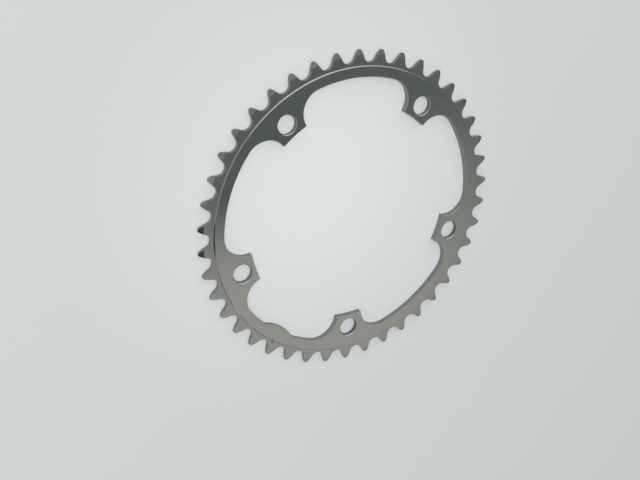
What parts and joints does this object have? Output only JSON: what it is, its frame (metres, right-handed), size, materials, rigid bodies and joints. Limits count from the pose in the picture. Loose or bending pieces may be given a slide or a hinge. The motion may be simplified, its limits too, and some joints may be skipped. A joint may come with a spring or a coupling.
{
  "type": "bicycle chainring",
  "caption": "Flat toothed ring of satin aluminium that drives a bicycle chain, with a slim stepped rim, bolt tabs for a crank spider and one index lug.",
  "frame": {"origin": "centre of the ring's axis on its back face, the face with the nut recesses", "axes": "+Z along the ring's axis towards the plain front face, +X through the index lug"},
  "size_m": [0.1754, 0.1754, 0.0035],
  "materials": {
    "ring_metal": "satin silver anodised"
  },
  "bodies": {
    "root": {"chainring": "ring_metal"}
  },
  "joints": []
}
